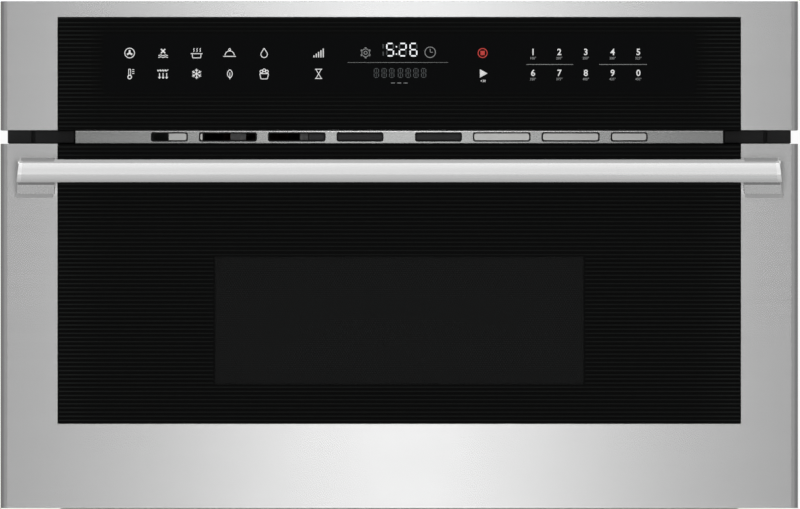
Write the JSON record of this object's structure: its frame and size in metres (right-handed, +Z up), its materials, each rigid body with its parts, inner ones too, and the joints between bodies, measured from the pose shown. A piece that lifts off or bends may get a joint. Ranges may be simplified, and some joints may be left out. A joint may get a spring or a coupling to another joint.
{
  "type": "built-in microwave oven",
  "caption": "Built-in microwave oven with a drop-down glass door on counterbalanced hinges, bar handle, touch control panel, vent strip, turntable and hot-air fan.",
  "frame": {"origin": "centre of the four cabinet screws, on the back of the front flange, which is the plane of the cabinet's face", "axes": "+X to the right of someone facing the oven, +Y into the cabinet, +Z up; the door faces -Y"},
  "size_m": [0.7588, 0.602, 0.482],
  "materials": {
    "front_steel": "horizontally brushed stainless steel",
    "handle_metal": "satin brushed",
    "front_glass": "black pinstriped glass",
    "clear_glass": "clear",
    "inner_glass": "tinted clear",
    "frame_enamel": "satin black enamel",
    "galvanised": "galvanised sheet",
    "cavity_steel": "stainless cavity sheet",
    "vent_metal": "satin silver",
    "black_plastic": "fine-grained black moulding",
    "screen_metal": "black perforated sheet",
    "mica": "mica sheet",
    "guide_metal": "zinc plated",
    "magnetron_metal": "plain sheet",
    "core_metal": "varnished laminations",
    "copper_wire": "enamelled copper wire",
    "can_metal": "plain can",
    "motor_metal": "zinc plated",
    "light_plastic": "ivory moulding",
    "board": "circuit board",
    "wire": "bright spring wire",
    "zinc_screw": "zinc plated"
  },
  "bodies": {
    "chassis": {"base_pan": "galvanised", "capacitor": "can_metal", "cavity_ceiling": "cavity_steel", "cavity_floor": "cavity_steel", "cavity_lamp": "guide_metal", "cavity_left_wall": "cavity_steel", "cavity_rear_wall": "cavity_steel", "cavity_right_wall": "cavity_steel", "control_board": "board", "control_glass": "front_glass", "control_housing": "black_plastic", "control_trim": "front_steel", "convection_grille": "cavity_steel", "convection_heater": "cavity_steel", "convection_housing": "galvanised", "convection_motor": "motor_metal", "cooling_motor": "motor_metal", "cooling_shroud": "black_plastic", "cord_gland": "black_plastic", "door_cables": "wire", "door_springs": "wire", "front_frame": "frame_enamel", "hinge_brackets": "galvanised", "interlock_switches": "black_plastic", "left_side_panel": "galvanised", "magnetron": "magnetron_metal", "rear_panel": "galvanised", "rear_screws": "zinc_screw", "right_side_panel": "galvanised", "top_cover": "galvanised", "transformer_core": "core_metal", "transformer_windings": "copper_wire", "turntable_motor": "motor_metal", "vent_baffles": "galvanised", "vent_ends": "black_plastic", "vent_trim": "vent_metal", "waveguide": "guide_metal", "waveguide_cover": "mica"},
    "door": {"door_skin": "front_steel", "door_glass": "front_glass", "glass_carrier": "black_plastic", "choke_frame": "frame_enamel", "choke_cover": "black_plastic", "window_screen": "screen_metal", "inner_window": "inner_glass", "handle_bar": "handle_metal", "handle_posts": "handle_metal", "hinge_arms": "galvanised", "latch_tongues": "black_plastic"},
    "spring_carriages": {"spring_carriages": "black_plastic"},
    "turntable": {"drive_coupler": "light_plastic"},
    "tray": {"glass_tray": "clear_glass"},
    "roller_ring": {"roller_ring": "light_plastic"},
    "roller_1": {"roller_1": "light_plastic"},
    "roller_2": {"roller_2": "light_plastic"},
    "roller_3": {"roller_3": "light_plastic"},
    "convection_fan": {"convection_fan": "cavity_steel"},
    "cooling_fan": {"cooling_fan": "light_plastic"},
    "switch_plunger_left": {"switch_plunger_left": "light_plastic"},
    "switch_plunger_right": {"switch_plunger_right": "light_plastic"}
  },
  "joints": [
    {"name": "door_hinge", "type": "hinge", "parent": "chassis", "child": "door", "pos_m": [0, -0.024, -0.188], "axis": [1, 0, 0], "range_deg": [0, 90], "stiffness_Nm_per_rad": 5.7, "springref_deg": -14.9, "deforming": ["door_springs", "door_cables"]},
    {"name": "carriage_slide", "type": "slide", "parent": "chassis", "child": "spring_carriages", "axis": [0, -1, 0], "range_m": [0, 0.0315]},
    {"name": "turntable_spin", "type": "hinge", "parent": "chassis", "child": "turntable", "pos_m": [0, 0.19, -0.13], "axis": [0, 0, 1], "continuous": true},
    {"name": "tray_lift", "type": "slide", "parent": "turntable", "child": "tray", "axis": [0, 0, 1], "range_m": [0, 0.05]},
    {"name": "roller_ring_spin", "type": "hinge", "parent": "chassis", "child": "roller_ring", "pos_m": [0, 0.19, -0.1312], "axis": [0, 0, 1], "continuous": true},
    {"name": "roller_1_spin", "type": "hinge", "parent": "roller_ring", "child": "roller_1", "pos_m": [0.118, 0.19, -0.1312], "axis": [1, 0, 0], "continuous": true},
    {"name": "roller_2_spin", "type": "hinge", "parent": "roller_ring", "child": "roller_2", "pos_m": [-0.059, 0.29219, -0.1312], "axis": [-0.5, 0.866, 0], "continuous": true},
    {"name": "roller_3_spin", "type": "hinge", "parent": "roller_ring", "child": "roller_3", "pos_m": [-0.059, 0.08781, -0.1312], "axis": [-0.5, -0.866, 0], "continuous": true},
    {"name": "convection_fan_spin", "type": "hinge", "parent": "chassis", "child": "convection_fan", "pos_m": [0, 0.4, -0.0215], "axis": [0, 1, 0], "continuous": true},
    {"name": "cooling_fan_spin", "type": "hinge", "parent": "chassis", "child": "cooling_fan", "pos_m": [0.2, 0.48, 0.186], "axis": [0, 1, 0], "continuous": true},
    {"name": "switch_plunger_left_slide", "type": "slide", "parent": "chassis", "child": "switch_plunger_left", "axis": [0, 1, 0], "range_m": [0, 0.0012], "stiffness_N_per_m": 300},
    {"name": "switch_plunger_right_slide", "type": "slide", "parent": "chassis", "child": "switch_plunger_right", "axis": [0, 1, 0], "range_m": [0, 0.0012], "stiffness_N_per_m": 300}
  ],
  "couplings": [
    {"joint": "carriage_slide", "follows": "door_hinge", "m_per_rad": 0.02},
    {"joint": "roller_ring_spin", "follows": "turntable_spin", "ratio": 0.5},
    {"joint": "roller_1_spin", "follows": "turntable_spin", "ratio": -6.5556},
    {"joint": "roller_2_spin", "follows": "turntable_spin", "ratio": -6.5556},
    {"joint": "roller_3_spin", "follows": "turntable_spin", "ratio": -6.5556}
  ]
}
